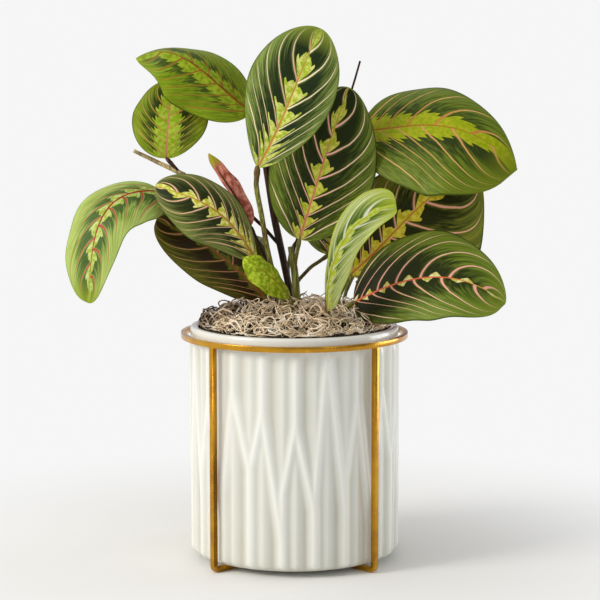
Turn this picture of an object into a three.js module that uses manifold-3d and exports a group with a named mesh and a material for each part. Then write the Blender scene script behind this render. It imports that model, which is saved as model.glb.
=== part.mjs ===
// A prayer plant (maranta) in a pleated ceramic pot, which stands in a square-bar metal stand.
// Millimetres, +Z up. The origin is the centre of the stand's underside, and -Y is the front.
import * as THREE from 'three';
import { mergeVertices } from 'three/addons/utils/BufferGeometryUtils.js';
import Module from 'manifold-3d';

const wasm = await Module();
wasm.setup();

// ---- driving dimensions -------------------------------------------------------------------
const GAP = 0.3; // between pieces that touch on the real thing

const BAR = 4.2; // side of the stand's square bar
const RING_RADIUS = 86.9; // centre line of the ring and of the four legs
const RING_TOP = 178.8;
const FOOT_BEND = 6; // outside radius of the bend at each foot
const LEG_TURN = Math.PI / 4; // the legs stand on the diagonals

const POT_RADIUS = 82.5; // over the pleats
const POT_WALL = 7.5;
const POT_BASE = BAR + GAP;
const POT_RIM = 184;
const POT_FLOOR = 10; // thickness of the pot's floor
const PLEAT_DEPTH = 1.8;
const PLEAT_LOW = 12; // heights between which the pleats run
const PLEAT_HIGH = 174;
const PLEAT_FADE = 6; // the pleats die out into the smooth band over this height

const SOIL_TOP = 172;
const MOSS_RADIUS = 73.4;
const MOSS_EDGE = 183; // height of the moss at the pot's wall
const MOSS_RISE = 14; // how far it mounds up in the middle
const MOSS_LUMP = 1.4;
const STEM_FOOT = 152; // the stems stand this deep in the soil

const BLADE_THICKNESS = 0.8;
const MIDRIB_DEPTH = 1.1; // the midrib stands out of the underside, most at the leaf's base
const BLADE_TIP = 0.7; // half width that a blade keeps at its very ends
const PULVINUS_LENGTH = 7; // the swollen joint between petiole and blade
const PULVINUS_SWELL = 1.2;
const HOLE_CLEARANCE = 0.6; // round a stem, in moss and soil

// Pleats of one quarter of the pot, which repeat round it: degrees from the quarter's middle,
// then the heights, 0 at the foot to 1 at the band, where the ridge forks and its two legs land.
const PLEATS = [
  { at: -35, fork: 0.8, leftLands: 0.3, rightLands: 0.43 },
  { at: -17, fork: 0.71, leftLands: 0.43, rightLands: 0.1 },
  { at: 1, fork: 0.65, leftLands: 0.33, rightLands: 0.24 },
  { at: 18, fork: 1, leftLands: 0.33, rightLands: 0.25 },
  { at: 36, fork: 0.75, leftLands: 0.38, rightLands: 0.15 },
];
const LOW_RIDGE_SHIFT = 2; // a low ridge runs this many degrees past the middle of two pleats
const RIDGE_HALF_WIDTH = 4.6; // degrees
const MINOR_RIDGE = 0.65; // height of the ridges inside a fork, against the main ones

// Leaves. rib: four points that the midrib passes through, base to tip. face: where the upper
// side looks, at base and tip. wide: half widths left and right of the midrib, looking at the
// upper side with the tip up. full: above 1 the side is widest nearer the tip. fold and curl:
// degrees by which each side stands up from the midrib, and by which it bends on towards its
// margin, base and tip where they differ. blunt: the lower, the rounder the ends of that side.
// stalk: node, radius and the way up from the soil.
const LEAVES = [
  {
    name: 'top_centre', rib: [[-28, -34, 309], [-11, -42, 342], [4, -38, 378], [20, -18, 414]],
    face: [[0.15, -1, 0.15], [0.1, -1, 0.35]], wide: [37, 32], full: [1.35, 1.3], blunt: [0.56, 0.56],
    fold: [8, 8], curl: [-30, -25],
    stalk: { radius: 2, way: [[-8, -16, 204], [-18, -20, 233], [-25, -28, 272], [-29, -33, 296]] },
  },
  {
    name: 'centre_tall', rib: [[4, -14, 252], [16, -18, 291], [28, -16, 329], [42, -4, 369]],
    face: [[0, -1, 0.2], [0.1, -1, 0.4]], wide: [40, 42], full: [0.9, 0.9], blunt: [0.56, 0.56],
    fold: [6, 6], curl: [-20, -18],
    stalk: { node: 'stem_green', radius: 1.5, way: [[0, -9, 222], [1, -10, 235]], rooted: false },
  },
  {
    name: 'left_top', rib: [[-33, 0, 350], [-63, -6, 375], [-91, -4, 394], [-123, 8, 391]],
    face: [[-0.5, -0.8, 0.3], [-0.2, -0.9, 0.2]], wide: [35, 36], full: [0.9, 0.9], blunt: [0.56, 0.56],
    fold: [[0, -40], [0, -65]], curl: [-10, -30],
    stalk: {
      node: 'stem_dark', radius: 2.8,
      way: [[-3, 4, 203], [-8, 4, 231], [-12, 4, 250], [-16, 5, 269], [-21, 5, 301], [-26, 3, 330]],
    },
  },
  {
    name: 'left_round', rib: [[-100, 14, 313], [-99, 12, 335], [-97, 18, 355], [-94, 30, 374]],
    face: [[0, -1, 0.3], [0, -0.8, 0.6]], wide: [29, 31], full: [0.85, 1], blunt: [0.5, 0.56],
    fold: [5, 5], curl: [-20, -20],
    stalk: {
      node: 'stem_dark', radius: 1.4, way: [[-11, 4, 245], [-32, 8, 267], [-62, 12, 285], [-90, 14, 302]],
      rooted: false,
    },
  },
  {
    name: 'right_upper', rib: [[51, 10, 335], [86, -4, 339], [127, -21, 337], [170, -30, 307]],
    face: [[0, -0.85, 0.6], [0.2, -0.8, 0.5]], wide: [47, 60], full: [0.72, 1.5], blunt: [0.9, 0.28],
    fold: [4, 4], curl: [-40, -25],
    stalk: { radius: 1.5, way: [[27, 12, 197], [30, 16, 226], [37, 18, 270], [44, 14, 312]] },
  },
  {
    name: 'right_middle', rib: [[44, 4, 223], [72, 2, 250], [100, 4, 278], [142, 14, 308]],
    face: [[0, -1, 0.25], [0.2, -1, 0.2]], wide: [42, 64], full: [0.9, 1.3], blunt: [0.56, 0.56],
    fold: [5, 5], curl: [-10, -10],
    stalk: { radius: 1.5, way: [[33, 2, 198], [37, 3, 209]] },
  },
  {
    name: 'right_lower', rib: [[46, -22, 204], [84, -44, 223], [121, -62, 227], [158, -74, 210]],
    face: [[-0.1, -0.8, 0.7], [0.3, -0.8, 0.6]], wide: [48, 37], full: [0.75, 1.05], blunt: [0.72, 0.3],
    fold: [5, 5], curl: [-20, -25],
    stalk: { radius: 1.6, way: [[31, -12, 192]] },
  },
  {
    name: 'rolled_front', rib: [[25, -46, 200], [27, -53, 229], [42, -56, 262], [77, -48, 281]],
    face: [[0.4, -0.9, 0.1], [0.3, -0.9, 0.3]], wide: [24, 15], full: [1.5, 1.3], blunt: [0.3, 0.3],
    fold: [[62, 20], [15, 10]], curl: [40, 40],
    stalk: { radius: 1.8, way: [[25, -45, 184]] },
  },
  {
    name: 'furled_red', rib: [[-34, -8, 262], [-44, -10, 283], [-55, -12, 300], [-66, -8, 318]],
    face: [[0.3, 0.9, 0.3], [0.3, 0.9, 0.2]], wide: [10, 10], full: [0.8, 0.8], blunt: [0.7, 0.7],
    fold: [10, 10], curl: [100, 100],
    stalk: { radius: 1.3, way: [[-14, -9, 202], [-21, -14, 234], [-27, -13, 248]] },
  },
  {
    name: 'left_middle', rib: [[-29, -26, 236], [-50, -38, 268], [-74, -42, 285], [-106, -32, 295]],
    face: [[-0.2, -0.8, 0.5], [-0.4, -0.8, 0.3]], wide: [29, 25], full: [1.1, 1.5], blunt: [0.56, 0.56],
    fold: [5, -5], curl: [-20, -55],
    stalk: { radius: 1.5, way: [[-12, -24, 204], [-19, -25, 220]] },
  },
  {
    name: 'left_drooping', rib: [[-104, -12, 289], [-140, -36, 280], [-153, -46, 247], [-157, -42, 206]],
    face: [[-0.3, -0.8, 0.8], [-0.5, -0.9, 0.1]], wide: [30, 30], full: [0.42, 1.25], blunt: [0.5, 0.4],
    fold: [5, 5], curl: [-35, -35],
    stalk: { radius: 1.3, way: [[-22, 4, 196], [-30, 7, 226], [-56, 8, 262], [-84, 2, 281]] },
  },
  {
    name: 'left_lower', rib: [[-22, -4, 204], [-46, -6, 229], [-73, -4, 249], [-108, 6, 266]],
    face: [[0, -1, -0.2], [0, -1, 0.1]], wide: [27, 30], full: [1.2, 0.9], blunt: [0.4, 0.5],
    fold: [5, 5], curl: [-10, -10],
    stalk: { radius: 1.5, way: [[-12, 3, 190]] },
  },
  {
    name: 'small_lime', rib: [[-3, -31, 209], [-13, -44, 222], [-26, -52, 234], [-38, -50, 242]],
    face: [[0.2, -0.8, 0.5], [0, -0.8, 0.5]], wide: [13, 13], full: [1.1, 1.1], blunt: [0.56, 0.56],
    fold: [-10, -10], curl: [-30, -30],
    stalk: { radius: 1.3, way: [[0, -26, 192]] },
  },
  {
    name: 'back_centre', rib: [[12, 24, 262], [14, 52, 286], [19, 84, 308], [24, 120, 318]],
    face: [[0, 0.3, 1], [0.1, 0.9, 0.6]], wide: [36, 36], full: [0.9, 0.9], blunt: [0.56, 0.56],
    fold: [5, 5], curl: [-20, -20],
    stalk: { radius: 1.5, way: [[-4, 20, 200], [-3, 21, 238]] },
  },
  {
    name: 'back_right', rib: [[77, 26, 262], [91, 54, 281], [106, 86, 291], [118, 118, 289]],
    face: [[0.1, 0.2, 1], [0.3, 0.9, 0.5]], wide: [34, 34], full: [0.9, 0.9], blunt: [0.56, 0.56],
    fold: [5, 5], curl: [-20, -20],
    stalk: { radius: 1.5, way: [[38, 16, 197], [50, 20, 226], [66, 23, 248]] },
  },
  {
    name: 'back_left', rib: [[-37, 20, 231], [-52, 50, 245], [-66, 84, 252], [-79, 116, 246]],
    face: [[-0.1, 0.2, 1], [-0.3, 0.9, 0.5]], wide: [36, 34], full: [0.9, 0.9], blunt: [0.56, 0.56],
    fold: [5, 5], curl: [-20, -20],
    stalk: { radius: 1.5, way: [[-20, 16, 197], [-27, 17, 214]] },
  },
  {
    name: 'back_low_right', rib: [[56, 26, 210], [79, 54, 218], [100, 84, 214], [118, 112, 196]],
    face: [[0.1, 0.2, 1], [0.3, 0.9, 0.3]], wide: [32, 32], full: [0.9, 0.9], blunt: [0.56, 0.56],
    fold: [5, 5], curl: [-20, -20],
    stalk: { radius: 1.5, way: [[42, 26, 190]] },
  },
  {
    name: 'back_low', rib: [[28, 30, 236], [36, 60, 252], [44, 92, 250], [50, 120, 230]],
    face: [[0, 0.1, 1], [0, 1, 0.5]], wide: [30, 30], full: [0.9, 0.9], blunt: [0.56, 0.56],
    fold: [5, 5], curl: [-15, -15],
    stalk: { radius: 1.5, way: [[-5, 25, 200], [12, 27, 225]] },
  },
];

// Stem pieces that end free: the trunk of the green stem, the old flower stalk on the dark stem
// and the thin flower spike.
const GREEN_TRUNK = { radius: 3, way: [[2, -9, 200], [0, -9, 228], [-3, -9, 246]] };
const OLD_STALK = { radius: 1.6, way: [[-86, 14, 300], [-105, 15, 309], [-126, 16, 319]] };
const SPIKE = {
  radius: 0.9, way: [[1, 13, 200], [-1, 13, 236], [6, 13, 262], [28, 14, 320], [45, 10, 368], [51, 6, 389]],
};

// ---- finishes -----------------------------------------------------------------------------
const glaze = new THREE.MeshStandardMaterial({ color: 0xe9e9e2, roughness: 0.22 });
const goldLacquer = new THREE.MeshStandardMaterial({ color: 0xc98f1c, roughness: 0.35, metalness: 0.9 });
const pottingSoil = new THREE.MeshStandardMaterial({ color: 0x3a2a1e, roughness: 1 });
const driedMoss = new THREE.MeshStandardMaterial({ color: 0xb09a72, roughness: 1 });
const leafGreen = new THREE.MeshStandardMaterial({ color: 0x4f7a35, roughness: 0.5 });
const leafLime = new THREE.MeshStandardMaterial({ color: 0x8cb04a, roughness: 0.5 });
const leafRed = new THREE.MeshStandardMaterial({ color: 0xa8596a, roughness: 0.5 });
const stemDark = new THREE.MeshStandardMaterial({ color: 0x4a2a28, roughness: 0.6 });
const stemGreen = new THREE.MeshStandardMaterial({ color: 0x74803f, roughness: 0.6 });
const BLADE_FINISH = {
  left_drooping: leafLime, small_lime: leafLime, rolled_front: leafLime, furled_red: leafRed,
};

// ---- helpers: closed meshes, joins and cuts -----------------------------------------------
function closedMesh(geometry) {
  const bare = geometry.clone();
  bare.deleteAttribute('normal');
  bare.deleteAttribute('uv');
  const merged = mergeVertices(bare, 1e-4);
  const corners = merged.index.array;
  const kept = [];
  for (let i = 0; i < corners.length; i += 3) {
    const [a, b, c] = [corners[i], corners[i + 1], corners[i + 2]];
    if (a !== b && b !== c && c !== a) kept.push(a, b, c); // a lathe's poles leave flat triangles
  }
  merged.setIndex(kept);
  return merged;
}

function solid(geometry) {
  const mesh = closedMesh(geometry);
  return new wasm.Manifold(new wasm.Mesh({
    numProp: 3,
    vertProperties: new Float32Array(mesh.attributes.position.array),
    triVerts: new Uint32Array(mesh.index.array),
  }));
}

function geometryOf(body) {
  const mesh = body.getMesh();
  const geometry = new THREE.BufferGeometry();
  geometry.setAttribute('position', new THREE.BufferAttribute(mesh.vertProperties, 3));
  geometry.setIndex(new THREE.BufferAttribute(mesh.triVerts, 1));
  geometry.computeVertexNormals();
  return geometry;
}

function piece(name, body, material) {
  const mesh = new THREE.Mesh(geometryOf(body), material);
  mesh.name = name;
  return mesh;
}

function lathe(profile, segments) {
  const points = profile.map(([radius, height]) => new THREE.Vector2(radius, height));
  return new THREE.LatheGeometry(points, segments).rotateX(Math.PI / 2);
}

const vector = ([x, y, z]) => new THREE.Vector3(x, y, z);
const { lerp: blend, clamp, degToRad, radToDeg } = THREE.MathUtils;

// A round stem, with few sides, along a smooth curve through its points.
function tube(points, radius, stepLength = 9, sides = 6) {
  const path = new THREE.CatmullRomCurve3(points);
  const corner = (turn) => new THREE.Vector2(radius * Math.cos(turn), radius * Math.sin(turn));
  const outline = new THREE.Shape(Array.from({ length: sides }, (_, i) => corner(2 * Math.PI * i / sides)));
  const steps = Math.max(2, Math.round(path.getLength() / stepLength));
  return solid(new THREE.ExtrudeGeometry(outline, { steps, extrudePath: path, bevelEnabled: false }));
}

// ---- stand: a ring on two U-shaped wires that cross under the pot --------------------------
function standRing() {
  const inner = RING_RADIUS - BAR / 2;
  const outer = RING_RADIUS + BAR / 2;
  const low = RING_TOP - BAR;
  return solid(lathe([[inner, low], [outer, low], [outer, RING_TOP], [inner, RING_TOP], [inner, low]], 64));
}

// Half of a U in its own plane, from the cut end near the middle to the top of the leg.
function halfWire(cutEnd) {
  const outside = RING_RADIUS + BAR / 2;
  const inside = RING_RADIUS - BAR / 2;
  const legTop = RING_TOP - BAR - GAP;
  const bendInside = FOOT_BEND - BAR;
  const outline = new THREE.Shape();
  outline.moveTo(cutEnd, 0);
  outline.lineTo(outside - FOOT_BEND, 0);
  outline.absarc(outside - FOOT_BEND, FOOT_BEND, FOOT_BEND, -Math.PI / 2, 0, false);
  outline.lineTo(outside, legTop);
  outline.lineTo(inside, legTop);
  outline.absarc(inside - bendInside, BAR + bendInside, bendInside, 0, -Math.PI / 2, true);
  outline.lineTo(cutEnd, BAR);
  outline.closePath();
  const flat = new THREE.ExtrudeGeometry(outline, { depth: BAR, bevelEnabled: false, curveSegments: 5 });
  return flat.translate(0, 0, -BAR / 2).rotateX(Math.PI / 2);
}

function standWires() {
  const turned = (geometry, angle) => solid(geometry.rotateZ(angle));
  const cut = BAR / 2 + GAP; // the second wire is cut where it meets the first
  const lap = -BAR; // the halves of the first run into each other
  const through = turned(halfWire(lap), LEG_TURN).add(turned(halfWire(lap), LEG_TURN + Math.PI));
  return [
    piece('stand_wire_through', through, goldLacquer),
    piece('stand_wire_left', turned(halfWire(cut), LEG_TURN + Math.PI / 2), goldLacquer),
    piece('stand_wire_right', turned(halfWire(cut), LEG_TURN - Math.PI / 2), goldLacquer),
  ];
}

// ---- pot: slip-cast cylinder whose wall is folded into long forking pleats ------------------
const quarterOf = (index) => Math.floor(index / PLEATS.length);
const pleatOf = (index) => PLEATS[index - quarterOf(index) * PLEATS.length];
const pleatAngle = (index) => pleatOf(index).at + 90 * quarterOf(index);
const lowRidgeAngle = (index) => (pleatAngle(index) + pleatAngle(index + 1)) / 2 + LOW_RIDGE_SHIFT;

// How far the wall stands out, 0 to 1, at an angle in degrees and a height from 0 to 1.
function pleatRelief(angle, height) {
  const ridge = (at, strength = 1) => strength * (1 - Math.abs(angle - at) / RIDGE_HALF_WIDTH);
  const pitch = 90 / PLEATS.length;
  const near = Math.round(angle / pitch) + 2;
  let relief = 0;
  for (let index = near - 2; index <= near + 2; index += 1) {
    const { fork, leftLands, rightLands } = pleatOf(index);
    const top = pleatAngle(index);
    const landing = (lands, low) => ridge(blend(top, low, Math.min(1, (fork - height) / (fork - lands))));
    if (height >= fork) {
      relief = Math.max(relief, ridge(top));
    } else {
      relief = Math.max(relief, landing(leftLands, lowRidgeAngle(index - 1)));
      relief = Math.max(relief, landing(rightLands, lowRidgeAngle(index)));
      relief = Math.max(relief, ridge(top, MINOR_RIDGE * Math.min(1, (fork - height) * 5)));
    }
    if (height > rightLands) relief = Math.max(relief, ridge(lowRidgeAngle(index), MINOR_RIDGE));
  }
  return relief;
}

function pot() {
  const valley = POT_RADIUS - PLEAT_DEPTH;
  const band = POT_RADIUS - PLEAT_DEPTH / 2; // the smooth band under the rim
  const inner = POT_RADIUS - POT_WALL;
  const wallHeights = [9, 32, 58, 84, 110, 136, PLEAT_HIGH - PLEAT_FADE, PLEAT_HIGH];
  const profile = [
    [0, POT_BASE], [valley - 5, POT_BASE], ...wallHeights.map((z) => [valley, z]),
    [band, PLEAT_HIGH + 2], [band, POT_RIM - 1.5], [band - 1.5, POT_RIM], [0, POT_RIM],
  ];
  const cavity = [
    [0, POT_BASE + POT_FLOOR], [inner, POT_BASE + POT_FLOOR], [inner, POT_RIM - 1.5],
    [inner + 3, POT_RIM + 1.5], [0, POT_RIM + 1.5],
  ];
  const shell = lathe(profile, 120);
  const place = shell.attributes.position;
  for (let i = 0; i < place.count; i += 1) {
    const [x, y, z] = [place.getX(i), place.getY(i), place.getZ(i)];
    const radius = Math.hypot(x, y);
    if (Math.abs(radius - valley) > 0.01) continue;
    const height = clamp((z - PLEAT_LOW) / (PLEAT_HIGH - PLEAT_LOW), 0, 1);
    const strength = Math.min(1, (PLEAT_HIGH - z) / PLEAT_FADE);
    const fromFront = radToDeg(Math.atan2(x, -y));
    const relief = blend(0.5, pleatRelief(fromFront, height), strength);
    const grown = (radius + PLEAT_DEPTH * relief) / radius;
    place.setXY(i, x * grown, y * grown);
  }
  return solid(shell).subtract(solid(lathe(cavity, 48)));
}

// ---- stems and petioles: each stands in its own plain hole in the moss and the soil --------
function ribCurve({ rib }) {
  const [p0, p1, p2, p3] = rib.map(vector);
  const mix = (a, b, c, d) => new THREE.Vector3()
    .addScaledVector(p0, a).addScaledVector(p1, b).addScaledVector(p2, c).addScaledVector(p3, d);
  return new THREE.CubicBezierCurve3(
    p0, mix(-5 / 6, 3, -1.5, 1 / 3), mix(1 / 3, -1.5, 3, -5 / 6), p3,
  );
}

function fromSoil(way) {
  const [x, y] = way[0];
  return [[x, y, STEM_FOOT], [x, y, (STEM_FOOT + way[0][2]) / 2], ...way].map(vector);
}

// Where a petiole ends and the pulvinus begins, and the direction that both share there.
function jointOf({ rib, stalk }) {
  const base = vector(rib[0]);
  const along = base.clone().sub(vector(stalk.way.at(-1))).normalize();
  return { along, start: base.clone().addScaledVector(along, -PULVINUS_LENGTH) };
}

function stalkRoute(leaf) {
  const { way, rooted = true } = leaf.stalk;
  const { along, start } = jointOf(leaf);
  const end = start.clone().addScaledVector(along, -GAP);
  const before = start.clone().addScaledVector(along, -GAP - 4);
  return [...(rooted ? fromSoil(way) : way.map(vector)), before, end];
}

function pulvinusRoute(leaf) {
  const { along, start } = jointOf(leaf);
  const middle = start.clone().addScaledVector(along, PULVINUS_LENGTH / 2);
  return [start, middle, vector(leaf.rib[0]), ribCurve(leaf).getPoint(0.05)];
}

function stems() {
  const nodes = new Map();
  const addTo = (node, body) => nodes.set(node, nodes.has(node) ? nodes.get(node).add(body) : body);
  for (const leaf of LEAVES) {
    const { node = `petiole_${leaf.name}`, radius } = leaf.stalk;
    addTo(node, tube(stalkRoute(leaf), radius));
  }
  addTo('stem_dark', tube(OLD_STALK.way.map(vector), OLD_STALK.radius));
  addTo('stem_green', tube(fromSoil(GREEN_TRUNK.way), GREEN_TRUNK.radius));
  addTo('flower_spike', tube(fromSoil(SPIKE.way), SPIKE.radius, 16, 5));
  const dark = new Set(['stem_dark', 'flower_spike', 'petiole_left_drooping', 'petiole_furled_red']);
  return [...nodes].map(([node, body]) => piece(node, body, dark.has(node) ? stemDark : stemGreen));
}

// Everything that the stems pass through is cut by them, a little wider.
function stemHoles() {
  const hole = (points, radius) => {
    const lowered = points.map((point) => point.clone());
    lowered[0].z -= HOLE_CLEARANCE;
    return tube(lowered, radius + HOLE_CLEARANCE);
  };
  const rooted = LEAVES.filter(({ stalk }) => stalk.rooted !== false);
  const holes = rooted.map((leaf) => hole(
    [...stalkRoute(leaf), vector(leaf.rib[0])], leaf.stalk.radius * PULVINUS_SWELL,
  ));
  holes.push(hole(fromSoil(GREEN_TRUNK.way), GREEN_TRUNK.radius));
  holes.push(hole(fromSoil(SPIKE.way.slice(0, 3)), SPIKE.radius));
  return holes.reduce((all, one) => all.add(one));
}

// ---- soil and moss -------------------------------------------------------------------------
function soil(holes) {
  const radius = POT_RADIUS - POT_WALL - GAP;
  const low = POT_BASE + POT_FLOOR + GAP;
  return solid(lathe([[0, low], [radius, low], [radius, SOIL_TOP], [0, SOIL_TOP]], 48)).subtract(holes);
}

function mossHeight(radius) {
  return MOSS_EDGE + MOSS_RISE * (1 - (radius / MOSS_RADIUS) ** 2) ** 0.85;
}

function moss(holes) {
  const under = SOIL_TOP + GAP;
  const rings = [0.99, 0.9, 0.78, 0.64, 0.5, 0.36, 0.22, 0.1, 0].map((part) => part * MOSS_RADIUS);
  const profile = [[0, under], [MOSS_RADIUS, under], ...rings.map((radius) => [radius, mossHeight(radius)])];
  const mat = lathe(profile, 36);
  const place = mat.attributes.position;
  for (let i = 0; i < place.count; i += 1) {
    const [x, y, z] = [place.getX(i), place.getY(i), place.getZ(i)];
    if (z < MOSS_EDGE - 1) continue;
    const lump = Math.sin(0.21 * x + 1.3) * Math.cos(0.24 * y) + 0.6 * Math.sin(0.43 * x - 0.37 * y);
    place.setZ(i, z + MOSS_LUMP * lump);
  }
  return solid(mat).subtract(holes);
}

// ---- leaves --------------------------------------------------------------------------------
const atSide = (value, side, t) => (
  Array.isArray(value[side]) ? blend(value[0][side], value[1][side], t) : value[side]
);

// A point of the upper side: t runs from base to tip, s from -1 at the left margin to 1.
function bladePoint(leaf, rib, t, s) {
  const along = rib.getTangent(t);
  const up = vector(leaf.face[0]).normalize().lerp(vector(leaf.face[1]).normalize(), t);
  up.addScaledVector(along, -up.dot(along)).normalize();
  const across = new THREE.Vector3().crossVectors(along, up);
  const side = s < 0 ? 0 : 1;
  const taper = Math.sin(Math.PI * t ** leaf.full[side]) ** leaf.blunt[side] || 0;
  const reach = Math.abs(s) * Math.max(BLADE_TIP, leaf.wide[side] * taper);
  const lift = degToRad(atSide(leaf.fold, side, t));
  const bend = degToRad(atSide(leaf.curl, side, t)) / leaf.wide[side];
  const out = (Math.sin(lift + bend * reach) - Math.sin(lift)) / bend;
  const rise = (Math.cos(lift) - Math.cos(lift + bend * reach)) / bend;
  const wave = 1.5 * Math.sin(2 * Math.PI * (2.5 * t + 0.3 * side)) * s * s * Math.sin(Math.PI * t);
  return rib.getPoint(t).addScaledVector(across, out * Math.sign(s)).addScaledVector(up, rise + wave);
}

// Upper and lower side share one grid and are split into triangles alike, joined by a rim.
function blade(leaf) {
  const rows = 9;
  const columns = [-1, -0.62, -0.22, 0, 0.22, 0.62, 1];
  const last = columns.length - 1;
  const rib = ribCurve(leaf);
  const rowAt = (row) => (row / rows + 0.5 - 0.5 * Math.cos(Math.PI * row / rows)) / 2;
  const upper = [];
  const lower = [];
  for (let row = 0; row <= rows; row += 1) {
    const t = rowAt(row);
    for (const s of columns) {
      const at = (dt, ds) => bladePoint(leaf, rib, clamp(t + dt, 0, 1), clamp(s + ds, -1, 1));
      const here = at(0, 0);
      const ahead = at(0.02, 0).sub(at(-0.02, 0));
      const aside = at(0, 0.1).sub(at(0, -0.1));
      const downward = ahead.cross(aside).normalize();
      const depth = BLADE_THICKNESS + (s === 0 ? MIDRIB_DEPTH * (1 - t) : 0);
      upper.push(here.clone());
      lower.push(here.addScaledVector(downward, depth));
    }
  }
  const width = columns.length;
  const corner = (row, column) => row * width + column;
  const under = upper.length;
  const faces = [];
  for (let row = 0; row < rows; row += 1) {
    for (let column = 0; column < last; column += 1) {
      const [a, b] = [corner(row, column), corner(row, column + 1)];
      const [c, d] = [corner(row + 1, column + 1), corner(row + 1, column)];
      faces.push(a, b, c, a, c, d, under + a, under + c, under + b, under + a, under + d, under + c);
    }
  }
  const loop = [];
  for (let column = 0; column < last; column += 1) loop.push(corner(0, column));
  for (let row = 0; row < rows; row += 1) loop.push(corner(row, last));
  for (let column = last; column > 0; column -= 1) loop.push(corner(rows, column));
  for (let row = rows; row > 0; row -= 1) loop.push(corner(row, 0));
  loop.forEach((a, i) => {
    const b = loop[(i + 1) % loop.length];
    faces.push(a, under + a, under + b, a, under + b, b);
  });
  const geometry = new THREE.BufferGeometry().setFromPoints([...upper, ...lower]);
  geometry.setIndex(faces);
  return solid(geometry).add(tube(pulvinusRoute(leaf), leaf.stalk.radius * PULVINUS_SWELL, 4));
}

function leaves() {
  return LEAVES.map((leaf) => piece(`leaf_${leaf.name}`, blade(leaf), BLADE_FINISH[leaf.name] ?? leafGreen));
}

// ---- the whole plant -----------------------------------------------------------------------
const pottedMaranta = new THREE.Group();
const holes = stemHoles();
pottedMaranta.add(piece('stand_ring', standRing(), goldLacquer), ...standWires());
pottedMaranta.add(piece('pot', pot(), glaze));
pottedMaranta.add(piece('soil', soil(holes), pottingSoil));
pottedMaranta.add(piece('moss', moss(holes), driedMoss));
pottedMaranta.add(...stems());
pottedMaranta.add(...leaves());

export default pottedMaranta;
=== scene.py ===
# A prayer plant in a pleated pot that stands in a gold metal stand. Metres, +Z up, -Y to the front.
import math
import random

import bmesh
import bpy
from mathutils import Matrix, Vector, noise


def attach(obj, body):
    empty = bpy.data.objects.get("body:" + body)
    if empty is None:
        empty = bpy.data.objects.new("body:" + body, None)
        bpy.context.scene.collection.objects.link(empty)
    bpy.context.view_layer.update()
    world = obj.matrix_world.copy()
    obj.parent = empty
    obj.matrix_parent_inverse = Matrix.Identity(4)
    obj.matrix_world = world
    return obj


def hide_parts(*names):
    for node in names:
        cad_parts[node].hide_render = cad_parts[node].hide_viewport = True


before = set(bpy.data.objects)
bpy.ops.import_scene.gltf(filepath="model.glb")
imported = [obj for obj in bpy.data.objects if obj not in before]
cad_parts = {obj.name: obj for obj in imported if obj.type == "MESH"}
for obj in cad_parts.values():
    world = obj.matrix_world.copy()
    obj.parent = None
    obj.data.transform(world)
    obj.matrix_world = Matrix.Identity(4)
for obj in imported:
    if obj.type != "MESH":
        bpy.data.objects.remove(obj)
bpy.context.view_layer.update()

# ---- Stand -------------------------------
# A ring of square steel bar, welded on two U-shaped bars that cross under the pot. The bars are
# bent over a small former, brushed along their length and sprayed with a gold-tinted lacquer.
MM = 0.001
BAR = 4.2 * MM
BAR_EDGE = 0.3 * MM
RING_RADIUS = 86.9 * MM
RING_TOP = 178.8 * MM
FOOT_BEND = 6 * MM
LEG_TURN = math.radians(45)
RING_STEPS = 180
BEND_STEPS = 8
WELD_BEAD = 0.9 * MM
BEAD_STRETCH = (1.9, 0.8, 0.8, 1)


def linear(colour):
    """An sRGB hex colour as linear red, green, blue and alpha."""
    parts = [int(colour[i:i + 2], 16) / 255 for i in (1, 3, 5)]
    return [p / 12.92 if p <= 0.04045 else ((p + 0.055) / 1.055) ** 2.4 for p in parts] + [1.0]


MODES = {
    "Math": "operation", "VectorMath": "operation", "Mix": "data_type", "MapRange": "interpolation_type",
}


def add(tree, kind, inputs=(), stops=(), **settings):
    """Adds a node; a second word of its kind sets its mode.

    Inputs go by order or by name: a number, a colour, or the node that feeds them.
    """
    kind, _, mode = kind.partition(" ")
    made = tree.nodes.new("ShaderNode" + kind)
    if mode:
        setattr(made, MODES[kind], mode)
    for name, value in settings.items():
        setattr(made, name, value)
    if stops:
        ramp = made.color_ramp.elements
        for place, colour in stops[2:]:
            ramp.new(place)
        for element, (place, colour) in zip(ramp, stops):
            element.position, element.color = place, linear(colour)
    open_sockets = [socket for socket in made.inputs if socket.enabled]
    named = inputs.items() if isinstance(inputs, dict) else zip(open_sockets, inputs)
    for socket, value in named:
        socket = made.inputs[socket] if isinstance(socket, str) else socket
        if isinstance(value, bpy.types.Node):
            value = next(output for output in value.outputs if output.enabled)
        if isinstance(value, bpy.types.NodeSocket):
            tree.links.new(value, socket)
        elif value is not None:
            socket.default_value = linear(value) if isinstance(value, str) else value
    return made


def new_material(name):
    """An empty material and its node tree."""
    made = bpy.data.materials.new(name)
    made.use_nodes = True
    made.node_tree.nodes.clear()
    return made, made.node_tree


def placed(name, data):
    """A new object at the origin, in the scene."""
    made = bpy.data.objects.new(name, data)
    bpy.context.scene.collection.objects.link(made)
    return made


def new_piece(name, mesh, *materials):
    """A smooth-shaded piece with its materials."""
    mesh.name = name
    made = placed(name, mesh)
    for material in materials:
        mesh.materials.append(material)
    mesh.shade_smooth()
    return made


def mesh_of(bm, sharp_over=None):
    """The finished mesh of a bmesh, with edges sharper than an angle in degrees kept crisp."""
    bmesh.ops.recalc_face_normals(bm, faces=bm.faces)
    mesh = bpy.data.meshes.new("shape")
    bm.to_mesh(mesh)
    bm.free()
    if sharp_over:
        mesh.set_sharp_from_angle(angle=math.radians(sharp_over))
    return mesh


def bevel_long_edges(bm):
    """Rounds the corners that run along a square bar."""
    corners = [e for e in bm.edges if e.is_manifold and e.calc_face_angle() > 1]
    bmesh.ops.bevel(
        bm, geom=corners, offset=BAR_EDGE, segments=2, profile=0.5, affect="EDGES", material=-1,
    )


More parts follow.
